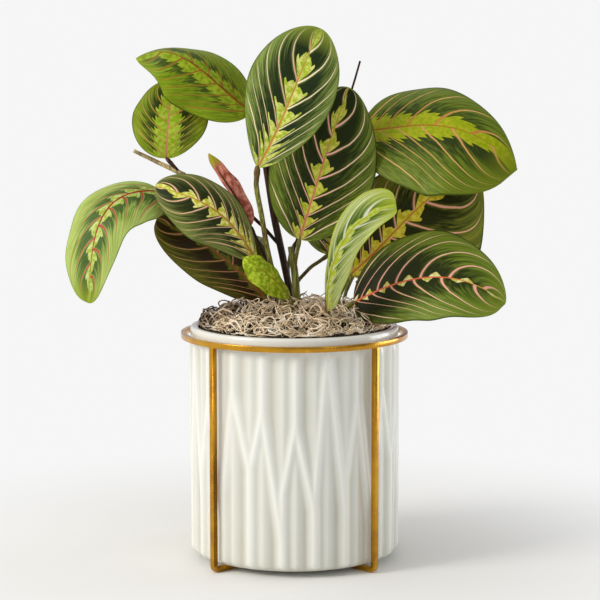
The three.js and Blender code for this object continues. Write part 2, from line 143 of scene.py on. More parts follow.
def stand_ring():
    bm = bmesh.new()
    upright = Matrix.Translation((RING_RADIUS, 0, RING_TOP - BAR / 2)) @ Matrix.Rotation(math.pi / 2, 4, "X")
    bmesh.ops.create_grid(bm, x_segments=1, y_segments=1, size=BAR / 2, matrix=upright)
    bmesh.ops.delete(bm, geom=list(bm.faces), context="FACES_ONLY")
    bmesh.ops.spin(
        bm, geom=bm.verts[:] + bm.edges[:], axis=(0, 0, 1), cent=(0, 0, 0),
        angle=2 * math.pi, steps=RING_STEPS, use_merge=True,
    )
    bevel_long_edges(bm)
    return mesh_of(bm)


def stand_wire(turn, cut):
    """One U-shaped bar, made as a half from its leg to the cut near the middle, then mirrored."""
    bm = bmesh.new()
    leg_top = RING_TOP - BAR + BAR_EDGE
    bend_middle = RING_RADIUS + BAR / 2 - FOOT_BEND
    top = Matrix.Translation((RING_RADIUS, 0, leg_top))
    bmesh.ops.create_grid(bm, x_segments=1, y_segments=1, size=BAR / 2, matrix=top)

    def run(end, way):
        grown = bmesh.ops.extrude_face_region(bm, geom=end)["geom"]
        verts = [g for g in grown if isinstance(g, bmesh.types.BMVert)]
        bmesh.ops.translate(bm, verts=verts, vec=way)
        return [g for g in grown if isinstance(g, bmesh.types.BMFace)]

    end = run(bm.faces[:], (0, 0, FOOT_BEND - leg_top))
    bend = bmesh.ops.spin(
        bm, geom=end, axis=(0, 1, 0), angle=math.pi / 2, steps=BEND_STEPS,
        cent=(bend_middle, 0, FOOT_BEND),
    )
    end = [g for g in bend["geom_last"] if isinstance(g, bmesh.types.BMFace)]
    end = run(end, (cut - bend_middle, 0, 0))
    if not cut:
        bmesh.ops.delete(bm, geom=end, context="FACES_ONLY")
    bmesh.ops.mirror(bm, geom=bm.verts[:] + bm.edges[:] + bm.faces[:], merge_dist=1e-6, axis="X")
    bmesh.ops.recalc_face_normals(bm, faces=bm.faces)
    bevel_long_edges(bm)
    bmesh.ops.rotate(bm, verts=bm.verts, cent=(0, 0, 0), matrix=Matrix.Rotation(turn, 3, "Z"))
    return mesh_of(bm)


def weld_beads():
    """The bead of weld metal on both sides of each leg, under the ring."""
    bm = bmesh.new()
    for leg in range(4):
        for side in (-1, 1):
            place = (
                Matrix.Rotation(LEG_TURN + leg * math.pi / 2, 4, "Z")
                @ Matrix.Translation((RING_RADIUS, side * BAR / 2, RING_TOP - BAR))
                @ Matrix.Diagonal(BEAD_STRETCH)
            )
            bmesh.ops.create_icosphere(bm, subdivisions=2, radius=WELD_BEAD, matrix=place)
    return mesh_of(bm)


gold_lacquer, tree = new_material("gold lacquer on brushed steel")
# Lacquered metal: a warm, slightly uneven gloss over brush lines, darker where the coat pools.
place = add(tree, "TexCoord").outputs["Object"]
clouds = add(tree, "TexNoise", {"Vector": place, "Scale": 60, "Detail": 4})  # 17 mm across
brush_lines = add(tree, "Mapping", {"Vector": place, "Scale": (2500, 2500, 90)})  # lines 0.4 mm apart
brush = add(tree, "TexNoise", {"Vector": brush_lines, "Scale": 1, "Detail": 2})
colour = add(tree, "ValToRGB", [clouds], stops=[(0.3, "#a87206"), (0.5, "#c08a0c"), (0.75, "#d4a020")])
gloss = add(tree, "MapRange", [brush, 0.3, 0.7, 0.2, 0.3])
relief = add(tree, "Bump", {"Height": brush, "Strength": 0.15, "Distance": 0.0001})
shader = add(tree, "BsdfPrincipled", {
    "Base Color": colour, "Metallic": 0.85, "Roughness": gloss, "Normal": relief, "Coat Weight": 0.35,
    "Coat Roughness": 0.18,
})
add(tree, "OutputMaterial", {"Surface": shader})

bm = bmesh.new()
wires = [stand_wire(LEG_TURN, 0), stand_wire(LEG_TURN + math.pi / 2, BAR / 2)]
for part in (stand_ring(), *wires, weld_beads()):
    bm.from_mesh(part)
stand = new_piece("stand", mesh_of(bm, sharp_over=40), gold_lacquer)
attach(stand, "root")
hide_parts("stand_ring", "stand_wire_through", "stand_wire_left", "stand_wire_right")

# ---- Pot ---------------------------------
# A slip-cast stoneware cylinder whose wall is folded into long forking pleats under a smooth
# band. Its thick off-white glaze has a painted highlight that makes it lighter on the folds and painted
# shade that makes it greyer between them.
POT_RADIUS = 82.5
PLEAT_DEPTH = 2.7
BAND_RADIUS = 81.6
PLEAT_LOW, PLEAT_HIGH = 12, 174
PLEAT_FADE, FOOT_FADE = 6, 5  # the heights in which the folds run out into the band and the foot
SHALLOW_FROM, SHALLOWER = 70, 0.12  # from this height up, the folds lose this share of their depth
POT_RIM = 184
POT_INSIDE = 75
POT_FLOOR, POT_UNDERSIDE = 14.5, 4.5
POT_STEPS = 480
SMOOTH_RELIEF = 0.75  # what the smooth band counts as, between a groove's 0 and a fold's 1
PLEATS = [  # degrees from the quarter's middle, then its fork and two landings as shares of the height
    (-35, 0.8, 0.3, 0.43), (-17, 0.71, 0.43, 0.1), (1, 0.65, 0.33, 0.24), (18, 1, 0.33, 0.25),
    (36, 0.75, 0.38, 0.15),
]
PLEAT_SPACING = 18
LOW_RIDGE_SHIFT = 2
RIDGE_HALF_WIDTH = 5.0
RIDGE_CREST = 0.07  # how round a fold is at its crest, as a share of its half width
MINOR_RIDGE = 0.66  # a fold between two branches, as a share of a main fold
MINOR_GROWTH, LOW_GROWTH = 5, 6  # how fast such a fold rises, under a fork and above a landing
BLEND_POWER = 5  # the higher, the sharper two folds stay where they meet


def pleat_angle(index):
    quarter, place = divmod(index, len(PLEATS))
    return PLEATS[place][0] + 90 * quarter


def low_ridge_angle(index):
    return (pleat_angle(index) + pleat_angle(index + 1)) / 2 + LOW_RIDGE_SHIFT


def pleat_relief(angle, height):
    """How far the wall stands out, 0 to 1: the folds add softly where they meet."""
    total = 0.0

    def ridge(at, strength=1.0):
        nonlocal total
        away = min(1.0, math.hypot((angle - at) / RIDGE_HALF_WIDTH, RIDGE_CREST))
        total += (max(0.0, strength) * (1 - away) / (1 - RIDGE_CREST)) ** BLEND_POWER

    middle = round(angle / PLEAT_SPACING) + 2
    for index in range(middle - 2, middle + 3):
        _, fork, left_lands, right_lands = PLEATS[index % len(PLEATS)]
        top = pleat_angle(index)
        if height >= fork:
            ridge(top)
        else:
            for lands, low_index in ((left_lands, index - 1), (right_lands, index)):
                way = min(1.0, (fork - height) / (fork - lands))
                ridge(top + (low_ridge_angle(low_index) - top) * way)
            ridge(top, MINOR_RIDGE * min(1.0, (fork - height) * MINOR_GROWTH))
        if height > right_lands:
            ridge(low_ridge_angle(index), MINOR_RIDGE * min(1.0, (height - right_lands) * LOW_GROWTH))
    return min(1.0, total) ** (1 / BLEND_POWER)


def turned(profile, steps):
    """A round closed form from its profile of radii and heights in millimetres."""
    bm = bmesh.new()
    verts = [bm.verts.new((radius * MM, 0, height * MM)) for radius, height in profile]
    edges = [bm.edges.new(pair) for pair in zip(verts, verts[1:])]
    bmesh.ops.spin(
        bm, geom=verts + edges, axis=(0, 0, 1), cent=(0, 0, 0), angle=2 * math.pi,
        steps=steps, use_merge=True,
    )
    bmesh.ops.remove_doubles(bm, verts=bm.verts, dist=1e-6)
    return bm


def pot_mesh():
    """The turned pot, its wall pushed out into the folds, with each point's relief as an attribute."""
    valley = POT_RADIUS - PLEAT_DEPTH
    band = BAND_RADIUS
    profile = [(radius, POT_UNDERSIDE) for radius in (0, 40, 73)]
    profile += [(76, 4.8), (78.2, 5.7), (79.2, 7.2), (valley, 9.5)]
    profile += [(valley, z) for z in range(PLEAT_LOW, PLEAT_HIGH, 2)]
    profile += [(band, PLEAT_HIGH), (band, 175), (band, 176), (band, 179), (band, 181.6)]
    profile += [(band - 0.25, 182.8), (band - 0.9, 183.6), (band - 1.9, POT_RIM)]
    profile += [(77.3, POT_RIM), (76.2, 183.7), (75.4, 183), (POT_INSIDE, 182), (POT_INSIDE, 160)]
    profile += [(POT_INSIDE, 100), (POT_INSIDE, 20)]
    profile += [(radius, POT_FLOOR) for radius in (POT_INSIDE, 68, 0)]
    bm = turned(profile, POT_STEPS)
    stands_out = bm.verts.layers.float.new("relief")
    for vert in bm.verts:
        radius, z = math.hypot(vert.co.x, vert.co.y) / MM, vert.co.z / MM
        vert[stands_out] = SMOOTH_RELIEF
        if z > PLEAT_HIGH + 1.5 or radius < POT_INSIDE + 0.5:
            continue
        fold = pleat_relief(
            math.degrees(math.atan2(vert.co.x, -vert.co.y)),
            min(1.0, max(0.0, (z - PLEAT_LOW) / (PLEAT_HIGH - PLEAT_LOW))),
        )
        into_band = min(1.0, max(0.0, (PLEAT_HIGH - z) / PLEAT_FADE))
        into_band *= 1 - SHALLOWER * max(0.0, z - SHALLOW_FROM) / (PLEAT_HIGH - SHALLOW_FROM)
        into_foot = min(1.0, max(0.0, (z - POT_UNDERSIDE) / FOOT_FADE))
        lift = (0.5 + (fold - 0.5) * into_band) * into_foot
        base = min(radius, valley)
        grown = (base + PLEAT_DEPTH * lift) / radius
        vert.co.x *= grown
        vert.co.y *= grown
        if z < PLEAT_HIGH:
            vert[stands_out] = lift
    return mesh_of(bm)


glaze, tree = new_material("off-white gloss glaze on stoneware")
# A thick glossy glaze: a painted highlight makes it nearly white on the folds, painted shade greyer beige
# between them.
place = add(tree, "TexCoord").outputs["Object"]
fold = add(tree, "Attribute", attribute_name="relief").outputs["Fac"]
clouds = add(tree, "TexNoise", {"Vector": place, "Scale": 28, "Detail": 5, "Roughness": 0.6})  # 36 mm
# painted highlight and shade: the relief lightens the glaze on the folds and darkens it between them, over
# an uneven mottle
painted_fold_light_and_mottle = add(tree, "Math MULTIPLY_ADD", [clouds, 0.35, fold])
colour = add(tree, "ValToRGB", [painted_fold_light_and_mottle], stops=[
    (0.1, "#c1bfb0"), (0.4, "#d1d0c4"), (0.75, "#dcddd3"), (1.0, "#e8e8e0"),
])
speck = add(tree, "TexNoise", {"Vector": place, "Scale": 700, "Detail": 2})  # pits 1.5 mm apart
relief = add(tree, "Bump", {"Height": speck, "Strength": 0.08, "Distance": 0.0003})
gloss = add(tree, "MapRange", [clouds, 0.3, 0.7, 0.12, 0.24])
shader = add(tree, "BsdfPrincipled", {
    "Base Color": colour, "Roughness": gloss, "Normal": relief, "IOR": 1.5, "Coat Weight": 0.4,
    "Coat Roughness": 0.06,
})
add(tree, "OutputMaterial", {"Surface": shader})

pot = new_piece("pot_body", pot_mesh(), glaze)
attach(pot, "root")
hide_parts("pot")

# ---- Soil --------------------------------
# Peat-based potting soil that fills the pot nearly to the brim. The moss hides it, so the solid
# stays, with the look of damp crumbs.
potting_soil, tree = new_material("damp peat potting soil")
# Crumbs of 2 to 4 mm, dark brown, with paler fibres between them, and no shine.
place = add(tree, "TexCoord").outputs["Object"]
crumbs = add(tree, "TexVoronoi", {"Vector": place, "Scale": 330})  # crumbs 3 mm across
fibres = add(tree, "TexNoise", {"Vector": place, "Scale": 500, "Detail": 4})  # 2 mm
colour = add(tree, "ValToRGB", [fibres], stops=[(0.35, "#1c120b"), (0.6, "#3a2819"), (0.8, "#6b5036")])
relief = add(tree, "Bump", {"Height": crumbs, "Strength": 0.9, "Distance": 0.002})
shader = add(tree, "BsdfPrincipled", {"Base Color": colour, "Roughness": 0.95, "Normal": relief})
add(tree, "OutputMaterial", {"Surface": shader})

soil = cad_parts["soil"]
soil.data.materials.clear()
soil.data.materials.append(potting_soil)

# ---- Moss --------------------------------
# Dried tree moss, pulled apart and laid over the soil by hand: a matted layer, its dark moss colour
# deepened to near black by painted shade, with hundreds of curly pale strands on it, some of which reach
# over the edge of the pot.
MOSS_RADIUS = 73.4
MOSS_EDGE = 183
MOSS_RISE = 14
MOSS_DOME = 0.85  # under 1, the mound is flatter in its middle and steeper at its edge
MOSS_UNDERSIDE = 175
MOSS_LUMP = 1.4
STRAND_POINTS, STRAND_STEP = 11, (2.4, 4.4)
STRAND_WANDER = 0.42  # how much a strand's bend changes from one point to the next, in radians
WISP_POINTS, WISP_STEP, WISP_RADIUS = 9, 2.9, 0.34


def moss_height(radius):
    """Height of the moss in millimetres at a distance from the pot's middle."""
    return MOSS_EDGE + MOSS_RISE * max(0.0, 1 - (radius / MOSS_RADIUS) ** 2) ** MOSS_DOME


def moss_mat():
    """The matted layer: a low mound with lumps 9 mm across and smaller ones of 2 mm on them."""
    steps = 44
    rings = [MOSS_RADIUS * math.sin(math.pi / 2 * i / steps) for i in range(steps + 1)]
    profile = [(radius, moss_height(radius) - 1.5) for radius in rings]
    profile += [(MOSS_RADIUS, MOSS_UNDERSIDE), (0, MOSS_UNDERSIDE)]
    bm = turned(profile, 200)
    for vert in bm.verts:
        if vert.co.z > (MOSS_UNDERSIDE + 3) * MM:
            lumps = noise.noise(vert.co * 110) + 0.8 * noise.noise(vert.co * 420)
            vert.co.z += MOSS_LUMP * MM * lumps
    return mesh_of(bm)


def curve_mesh(splines, sides):
    """A mesh of round strands: each spline is a list of points with their radii."""
    curve = bpy.data.curves.new("strands", "CURVE")
    curve.dimensions = "3D"
    curve.bevel_depth = 1.0
    curve.bevel_resolution = sides
    curve.use_fill_caps = True
    curve.resolution_u = 3
    for points in splines:
        stations = curve.splines.new("BEZIER").bezier_points
        stations.add(len(points) - 1)
        for station, (place, radius) in zip(stations, points):
            station.co = place
            station.radius = radius
            station.handle_left_type = station.handle_right_type = "AUTO"
    holder = placed("strands", curve)
    evaluated = holder.evaluated_get(bpy.context.evaluated_depsgraph_get())
    mesh = bpy.data.meshes.new_from_object(evaluated)
    bpy.data.objects.remove(holder)
    bpy.data.curves.remove(curve)
    mesh.materials.clear()
    return mesh


def moss_strand(dice, radius, turn, height, lift, curl, thick, limit):
    """One curly strand that lies on the mound and arches up in its middle."""
    place = Vector((radius * math.cos(turn), radius * math.sin(turn), 0))
    heading = dice.uniform(0, 2 * math.pi)
    bend = dice.choice((-1, 1)) * dice.uniform(*curl)
    step = dice.uniform(*STRAND_STEP)
    points = []
    for i in range(STRAND_POINTS):
        arch = math.sin(math.pi * i / (STRAND_POINTS - 1))
        away = math.hypot(place.x, place.y)
        if away > limit:
            place *= limit / away
            away = limit
        z = moss_height(away) + height + lift * arch ** 1.5 + dice.uniform(-0.6, 0.6)
        points.append((Vector((place.x, place.y, z)) * MM, thick * MM * (0.5 + 0.5 * arch)))
        place += Vector((math.cos(heading), math.sin(heading), 0)) * step
        heading += bend + dice.uniform(-0.25, 0.25)
        bend += dice.uniform(-STRAND_WANDER, STRAND_WANDER)
    return points


def moss_strands(dice, count, height, lift, curl, thick, front=0.0, least=0.0):
    """Strands strewn over the mound; a front of 1 keeps them to the front, 0 strews them evenly.

    height, lift, thick: from where to where strands lie on the mound, arch above it and have their
    radius, in millimetres. curl: how far they turn from one point to the next, in radians.
    least: the share of the mound's radius inside which no strand begins. Such strands lie along
    the edge and reach a little over it.
    """
    strands = []
    limit = MOSS_RADIUS + (1.5 if least else -0.5)
    for _ in range(count):
        radius = MOSS_RADIUS * (least + (1 - least) * dice.random() ** 0.45)
        turn = dice.uniform(0, 2 * math.pi)
        if dice.random() < front * (0.5 + 0.5 * math.sin(turn)):
            turn = -turn
        strands.append(moss_strand(
            dice, radius, turn, dice.uniform(*height), dice.uniform(*lift), curl,
            dice.uniform(*thick), limit,
        ))
    return curve_mesh(strands, 0)


def moss_wisps(dice, count):
    """Thin wiry loops that stand up from the moss, most of them at its left and at its back."""
    wisps = []
    for _ in range(count):
        turn = dice.triangular(0.15, 1.35, 1.0) * math.pi
        radius = MOSS_RADIUS * dice.uniform(0.55, 0.97)
        place = Vector((radius * math.cos(turn), radius * math.sin(turn), moss_height(radius) - 2))
        heading = Vector((dice.uniform(-1, 1), dice.uniform(-1, 1), dice.uniform(0.8, 2))).normalized()
        spin = Matrix.Rotation(dice.uniform(0.35, 0.75), 3, (dice.uniform(-1, 1), dice.uniform(-1, 1), 0))
        points = []
        for _ in range(WISP_POINTS):
            held = min(1.0, (MOSS_RADIUS + 0.3) / max(1.0, math.hypot(place.x, place.y)))
            place = Vector((place.x * held, place.y * held, place.z))
            points.append((place * MM, WISP_RADIUS * MM))
            place = place + heading * WISP_STEP
            heading = spin @ heading
        wisps.append(points)
    return curve_mesh(wisps, 0)


def moss_look(name, dark, middle, light):
    """Dried moss: matt, fibrous, bleached in patches, with painted shade that darkens it at the left and at
    the back.
    """
    made, tree = new_material(name)
    place = add(tree, "TexCoord").outputs["Object"]
    patches = add(tree, "TexNoise", {"Vector": place, "Scale": 90, "Detail": 3})  # 11 mm across
    fibres = add(tree, "TexNoise", {"Vector": place, "Scale": 1200, "Detail": 2})  # 0.8 mm, to show
    both = add(tree, "Mix RGBA", [0.4, patches.outputs["Color"], fibres.outputs["Color"]])
    colour = add(tree, "ValToRGB", [both], stops=[(0.37, dark), (0.5, middle), (0.63, light)])
    # painted shade: the moss is blended towards its darkest colour at the left and at the back
    shade_side = add(tree, "VectorMath DOT_PRODUCT", [place, (-0.85, 0.5, 0)]).outputs["Value"]
    shade_side = add(tree, "Math MULTIPLY_ADD", [patches, 0.05, shade_side])
    brown = add(tree, "MapRange SMOOTHSTEP", [shade_side, 0.04, 0.085, 0, 0.9])
    colour = add(tree, "Mix RGBA", [brown, colour, dark])
    relief = add(tree, "Bump", {"Height": fibres, "Strength": 0.5, "Distance": 0.0004})
    shader = add(tree, "BsdfPrincipled", {
        "Base Color": colour, "Roughness": 0.9, "Normal": relief, "Sheen Weight": 0.25,
        "Specular IOR Level": 0.2,
    })
    add(tree, "OutputMaterial", {"Surface": shader})
    return made


dice = random.Random(11)
bleached = moss_look("dried moss, bleached strands", "#7c5c3a", "#f2dab4", "#fffef6")
moss_pieces = [
    # painted shade: the mat's colours are near black, with the shade between the strands painted into the
    # moss
    new_piece("moss_mat", moss_mat(), moss_look("matted moss with painted shade", "#0a0603", "#1c130a", "#3c2c1a")),
    new_piece(
        "moss_strands_low",
        moss_strands(
            dice, 760, height=(-1.6, 0.4), lift=(0, 2.5), curl=(0.2, 0.8), thick=(0.26, 0.46),
        ),
        moss_look("dried moss, brown strands", "#120a04", "#34241a", "#7c6040"),
    ),
    new_piece(
        "moss_strands_top",
        moss_strands(
            dice, 350, height=(0.2, 3.4), lift=(1, 11), curl=(0.3, 0.85), thick=(0.42, 0.74), front=0.55,
        ),
        bleached,
    ),
    new_piece(
        "moss_strands_edge",
        moss_strands(
            dice, 170, height=(1.2, 3.0), lift=(0, 4), curl=(0.1, 0.6), thick=(0.32, 0.6), front=0.4,
            least=0.93,
        ),
        bleached,
    ),
    new_piece(
        "moss_wisps", moss_wisps(dice, 190),
        moss_look("dried moss, dark wisps", "#140c06", "#3a2818", "#7c6444"),
    ),
]
for moss_piece in moss_pieces:
    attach(moss_piece, "root")
    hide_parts("moss")

# ---- Leaf blades -------------------------
# Eighteen oval blades, each a thin satin sheet that puffs up a little between its sunken veins.
# A blade grows along a curved midrib, stands up or droops at its sides and waves at its margin.
BLADE_THICK = 0.6
BLADE_TIP = 0.7
MARGIN_WAVE, WAVES = 1.5, 2.5  # how high the waves of a margin are, and how many
VEINS = 6.8  # pairs of side veins along a blade
PUFF = 0.35
SMALL_BLADE = 20  # a blade not wider than this to one side needs fewer faces
GRID, SMALL_GRID = (56, 110), (36, 80)
ROW_CROWDING = 0.6  # how much closer the rows of faces lie towards a blade's base and tip
RIGHT_SIDE = 100  # what the vein map adds right of the midrib, so that a look can tell the sides
REACH_UNIT = 100  # millimetres from the midrib to one unit of the vein map
# rib: four points of the midrib in millimetres. face: where a blade faces at its base and its tip.
# In pairs for left and right, wide: width. full: over 1, widest nearer the tip. blunt: the less, the
# rounder the ends. fold, curl: degrees that a side stands up, and bends up towards its margin, or
# first those at the base and then those at the tip. arcs, crowd, veins, phase: see vein_count.
# look, under: names in LOOKS and UNDERSIDES. stem: what the petiole belongs to, if it has no piece
# of its own. way: its points up to the pulvinus. stalk: its radius. rooted: it starts in the soil.
LEAVES = {
    "top_centre": dict(
        rib=[(-28, -34, 309), (-11, -42, 342), (4, -38, 378), (20, -18, 414)],
        face=[(0.15, -1, 0.15), (0.1, -1, 0.35)], wide=(37, 32), full=(1.35, 1.3), fold=(8, 8),
        curl=(-30, -25), look="herringbone", arcs=((0.42, 0.12), (0.24, 0.2)), veins=6.4,
        phase=(0.15, 0.2), stalk=2,
        way=[(-8, -16, 204), (-18, -20, 233), (-25, -28, 272), (-29, -33, 296)],
    ),
    "centre_tall": dict(
        rib=[(4, -14, 252), (16, -18, 291), (28, -16, 329), (42, -4, 369)],
        face=[(0, -1, 0.2), (0.1, -1, 0.4)], wide=(40, 42), fold=(6, 6), curl=(-20, -18), look="dark",
        arcs=((0.35, 0.15), (0.2, 0.22)), phase=(0.5, 0.2), way=[(0, -9, 222), (1, -10, 235)],
        stem="stem_green",
    ),
    "left_top": dict(
        rib=[(-33, 0, 350), (-63, -6, 375), (-91, -4, 394), (-123, 8, 391)],
        face=[(-0.5, -0.8, 0.3), (-0.2, -0.9, 0.2)], wide=(35, 36), fold=[(0, -40), (0, -65)],
        curl=(-10, -30), look="lime_red", stem="stem_dark", stalk=2.8,
        way=[(-3, 4, 203), (-8, 4, 231), (-12, 4, 250), (-16, 5, 269), (-21, 5, 301), (-26, 3, 330)],
        rooted=True,
    ),
    "left_round": dict(
        rib=[(-100, 14, 313), (-99, 12, 335), (-97, 18, 355), (-94, 30, 374)],
        face=[(0, -1, 0.3), (0, -0.8, 0.6)], wide=(29, 31), full=(0.85, 1), blunt=(0.5, 0.56),
        look="lime_wide", stem="stem_dark", stalk=1.4,
        way=[(-11, 4, 245), (-32, 8, 267), (-62, 12, 285), (-90, 14, 302)],
    ),
    "right_upper": dict(
        rib=[(51, 10, 335), (86, -4, 339), (127, -21, 337), (170, -30, 307)],
        face=[(0, -0.85, 0.6), (0.2, -0.8, 0.5)], wide=(47, 60), full=(0.72, 1.5), blunt=(0.9, 0.28),
        fold=(4, 4), curl=(-40, -25), look="broad_band", arcs=((0.15, 0.15), (0.4, 0.45)), veins=6,
        way=[(27, 12, 197), (30, 16, 226), (37, 18, 270), (44, 14, 312)],
    ),
    "right_middle": dict(
        rib=[(44, 4, 223), (72, 2, 250), (100, 4, 278), (142, 14, 308)],
        face=[(0, -1, 0.25), (0.2, -1, 0.2)], wide=(42, 64), full=(0.9, 1.3), curl=(-10, -10),
        look="gold_spots", way=[(33, 2, 198), (37, 3, 209)],
    ),
    "right_lower": dict(
        rib=[(46, -22, 204), (84, -44, 223), (121, -62, 227), (158, -74, 210)],
        face=[(-0.1, -0.8, 0.7), (0.3, -0.8, 0.6)], wide=(48, 37), full=(0.75, 1.05), blunt=(0.72, 0.3),
        curl=(-20, -25), look="pink_veined", arcs=((0.05, 0.4), (0.05, 0.6)), veins=6, phase=(0.45, 0.7),
        stalk=1.6, way=[(31, -12, 192)],
    ),
    "rolled_front": dict(
        rib=[(25, -46, 200), (27, -53, 229), (42, -56, 262), (77, -48, 281)],
        face=[(0.4, -0.9, 0.1), (0.3, -0.9, 0.3)], wide=(24, 15), full=(1.5, 1.3), blunt=(0.3, 0.3),
        fold=[(62, 20), (15, 10)], curl=(40, 40), look="pale_ribbed", stalk=1.8, way=[(25, -45, 184)],
    ),
    "furled_red": dict(
        rib=[(-34, -8, 262), (-44, -10, 283), (-55, -12, 300), (-66, -8, 318)],
        face=[(0.3, 0.9, 0.3), (0.3, 0.9, 0.2)], wide=(10, 10), full=(0.8, 0.8), blunt=(0.7, 0.7),
        fold=(10, 10), curl=(100, 100), look="young", under="rose", stalk=1.2,
        way=[(-14, -9, 202), (-21, -14, 234), (-27, -15, 248)],
    ),
    "left_middle": dict(
        rib=[(-29, -26, 236), (-50, -38, 268), (-74, -42, 285), (-106, -32, 295)],
        face=[(-0.2, -0.8, 0.5), (-0.4, -0.8, 0.3)], wide=(29, 25), full=(1.1, 1.5), fold=(5, -5),
        curl=(-20, -55), look="dark_sheen", veins=7.2, way=[(-12, -24, 204), (-19, -25, 220)],
    ),
    "left_drooping": dict(
        rib=[(-104, -12, 289), (-140, -36, 280), (-153, -46, 247), (-157, -42, 206)],
        face=[(-0.3, -0.8, 0.8), (-0.5, -0.9, 0.1)], wide=(30, 30), full=(0.42, 1.25), blunt=(0.5, 0.4),
        curl=(-35, -35), look="young_drooping", arcs=((-0.1, 0.5), (0.25, 0.3)), crowd=0.8, stalk=1.3,
        way=[(-22, 4, 196), (-30, 7, 226), (-56, 8, 262), (-84, 2, 281)],
    ),
    "left_lower": dict(
        rib=[(-22, -4, 204), (-46, -6, 229), (-73, -4, 249), (-108, 6, 266)],
        face=[(0, -1, -0.2), (0, -1, 0.1)], wide=(27, 30), full=(1.2, 0.9), blunt=(0.4, 0.5),
        curl=(-10, -10), look="shaded", way=[(-12, 3, 190)],
    ),
    "small_lime": dict(
        rib=[(-3, -31, 209), (-13, -44, 222), (-26, -52, 234), (-38, -50, 242)],
        face=[(0.2, -0.8, 0.5), (0, -0.8, 0.5)], wide=(13, 13), full=(1.1, 1.1), fold=(-10, -10),
        curl=(-30, -30), look="plain_lime", stalk=1.3, way=[(0, -26, 192)],
    ),
    "back_centre": dict(
        rib=[(12, 24, 262), (14, 52, 286), (19, 84, 308), (24, 120, 318)],
        face=[(0, 0.3, 1), (0.1, 0.9, 0.6)], wide=(36, 36), look="herringbone",
        way=[(-4, 20, 200), (-3, 21, 238)],
    ),
    "back_right": dict(
        rib=[(77, 26, 262), (91, 54, 281), (106, 86, 291), (118, 118, 289)],
        face=[(0.1, 0.2, 1), (0.3, 0.9, 0.5)], wide=(34, 34), look="broad_band",
        way=[(38, 16, 197), (50, 20, 226), (66, 23, 248)],
    ),
    "back_left": dict(
        rib=[(-37, 20, 231), (-52, 50, 245), (-66, 84, 252), (-79, 116, 246)],
        face=[(-0.1, 0.2, 1), (-0.3, 0.9, 0.5)], wide=(36, 34), look="dark_sheen",
        way=[(-20, 16, 197), (-27, 17, 214)],
    ),
    "back_low_right": dict(
        rib=[(56, 26, 210), (79, 54, 218), (100, 84, 214), (118, 112, 196)],
        face=[(0.1, 0.2, 1), (0.3, 0.9, 0.3)], wide=(32, 32), look="pink_veined", way=[(42, 26, 190)],
    ),
    "back_low": dict(
        rib=[(28, 30, 236), (36, 60, 252), (44, 92, 250), (50, 120, 230)],
        face=[(0, 0.1, 1), (0, 1, 0.5)], wide=(30, 30), curl=(-15, -15), look="dark",
        way=[(-5, 25, 200), (12, 27, 225)],
    ),
}


def rib_frame(leaf, t):
    """Where the midrib is, how it runs, and the directions up from the blade and across it."""
    p0, p1, p2, p3 = (Vector(p) for p in leaf["rib"])
    h1 = (-5 * p0 + 18 * p1 - 9 * p2 + 2 * p3) / 6
    h2 = (2 * p0 - 9 * p1 + 18 * p2 - 5 * p3) / 6
    r = 1 - t
    centre = r ** 3 * p0 + 3 * r * r * t * h1 + 3 * r * t * t * h2 + t ** 3 * p3
    along = (r * r * (h1 - p0) + 2 * r * t * (h2 - h1) + t * t * (p3 - h2)).normalized()
    base, tip = (Vector(f).normalized() for f in leaf["face"])
    up = base.lerp(tip, t).normalized()
    up = (up - along * up.dot(along)).normalized()
    return centre, up, along.cross(up)


def by_side(leaf, key, default, side, t):
    """A leaf's value for one side, also where its base and its tip differ."""
    value = leaf.get(key, default)
    if isinstance(value[0], tuple):
        return value[0][side] + (value[1][side] - value[0][side]) * t
    return value[side]


def blade_point(leaf, s, t, frame_here):
    """A point of the upper side, and its distance from the midrib, in millimetres."""
    centre, up, across = frame_here
    side = 0 if s < 0 else 1
    full = leaf.get("full", (0.9, 0.9))[side]
    blunt = leaf.get("blunt", (0.56, 0.56))[side]
    wide = leaf["wide"][side]
    taper = max(0.0, math.sin(math.pi * t ** full)) ** blunt
    reach = abs(s) * max(BLADE_TIP, wide * taper)
    lift = math.radians(by_side(leaf, "fold", (5, 5), side, t))
    bend = math.radians(by_side(leaf, "curl", (-20, -20), side, t)) / wide
    out = (math.sin(lift + bend * reach) - math.sin(lift)) / bend
    rise = (math.cos(lift) - math.cos(lift + bend * reach)) / bend
    wave = MARGIN_WAVE * math.sin(2 * math.pi * (WAVES * t + 0.3 * side)) * s * s * math.sin(math.pi * t)
    k = vein_count(leaf, s, t)
    puffed = PUFF * math.sin(math.pi * (k % 1)) ** 2 * math.sin(math.pi * min(1, abs(s) * 1.05)) ** 0.5
    return centre + across * math.copysign(out, s) + up * (rise + wave + puffed * taper), reach


def vein_count(leaf, s, t):
    """Whole numbers lie on the side veins, which bow towards the tip and crowd towards the base.

    arcs: for each side, how far a vein leans and bows towards the tip. crowd: how much closer the
    veins are at the base. veins: their number. phase: where each side's first one starts.
    """
    a = abs(s)
    side = 0 if s < 0 else 1
    lean, bow = leaf.get("arcs", ((0.2, 0.25), (0.2, 0.25)))[side]
    q = t - lean * a - bow * a * a
    crowd = leaf.get("crowd", 2.2)
    q = math.log(1 + crowd * q) / math.log(1 + crowd) if q > 0 else 0.5 * q
    return leaf.get("veins", VEINS) * q + leaf.get("phase", (0, 0.5))[side]


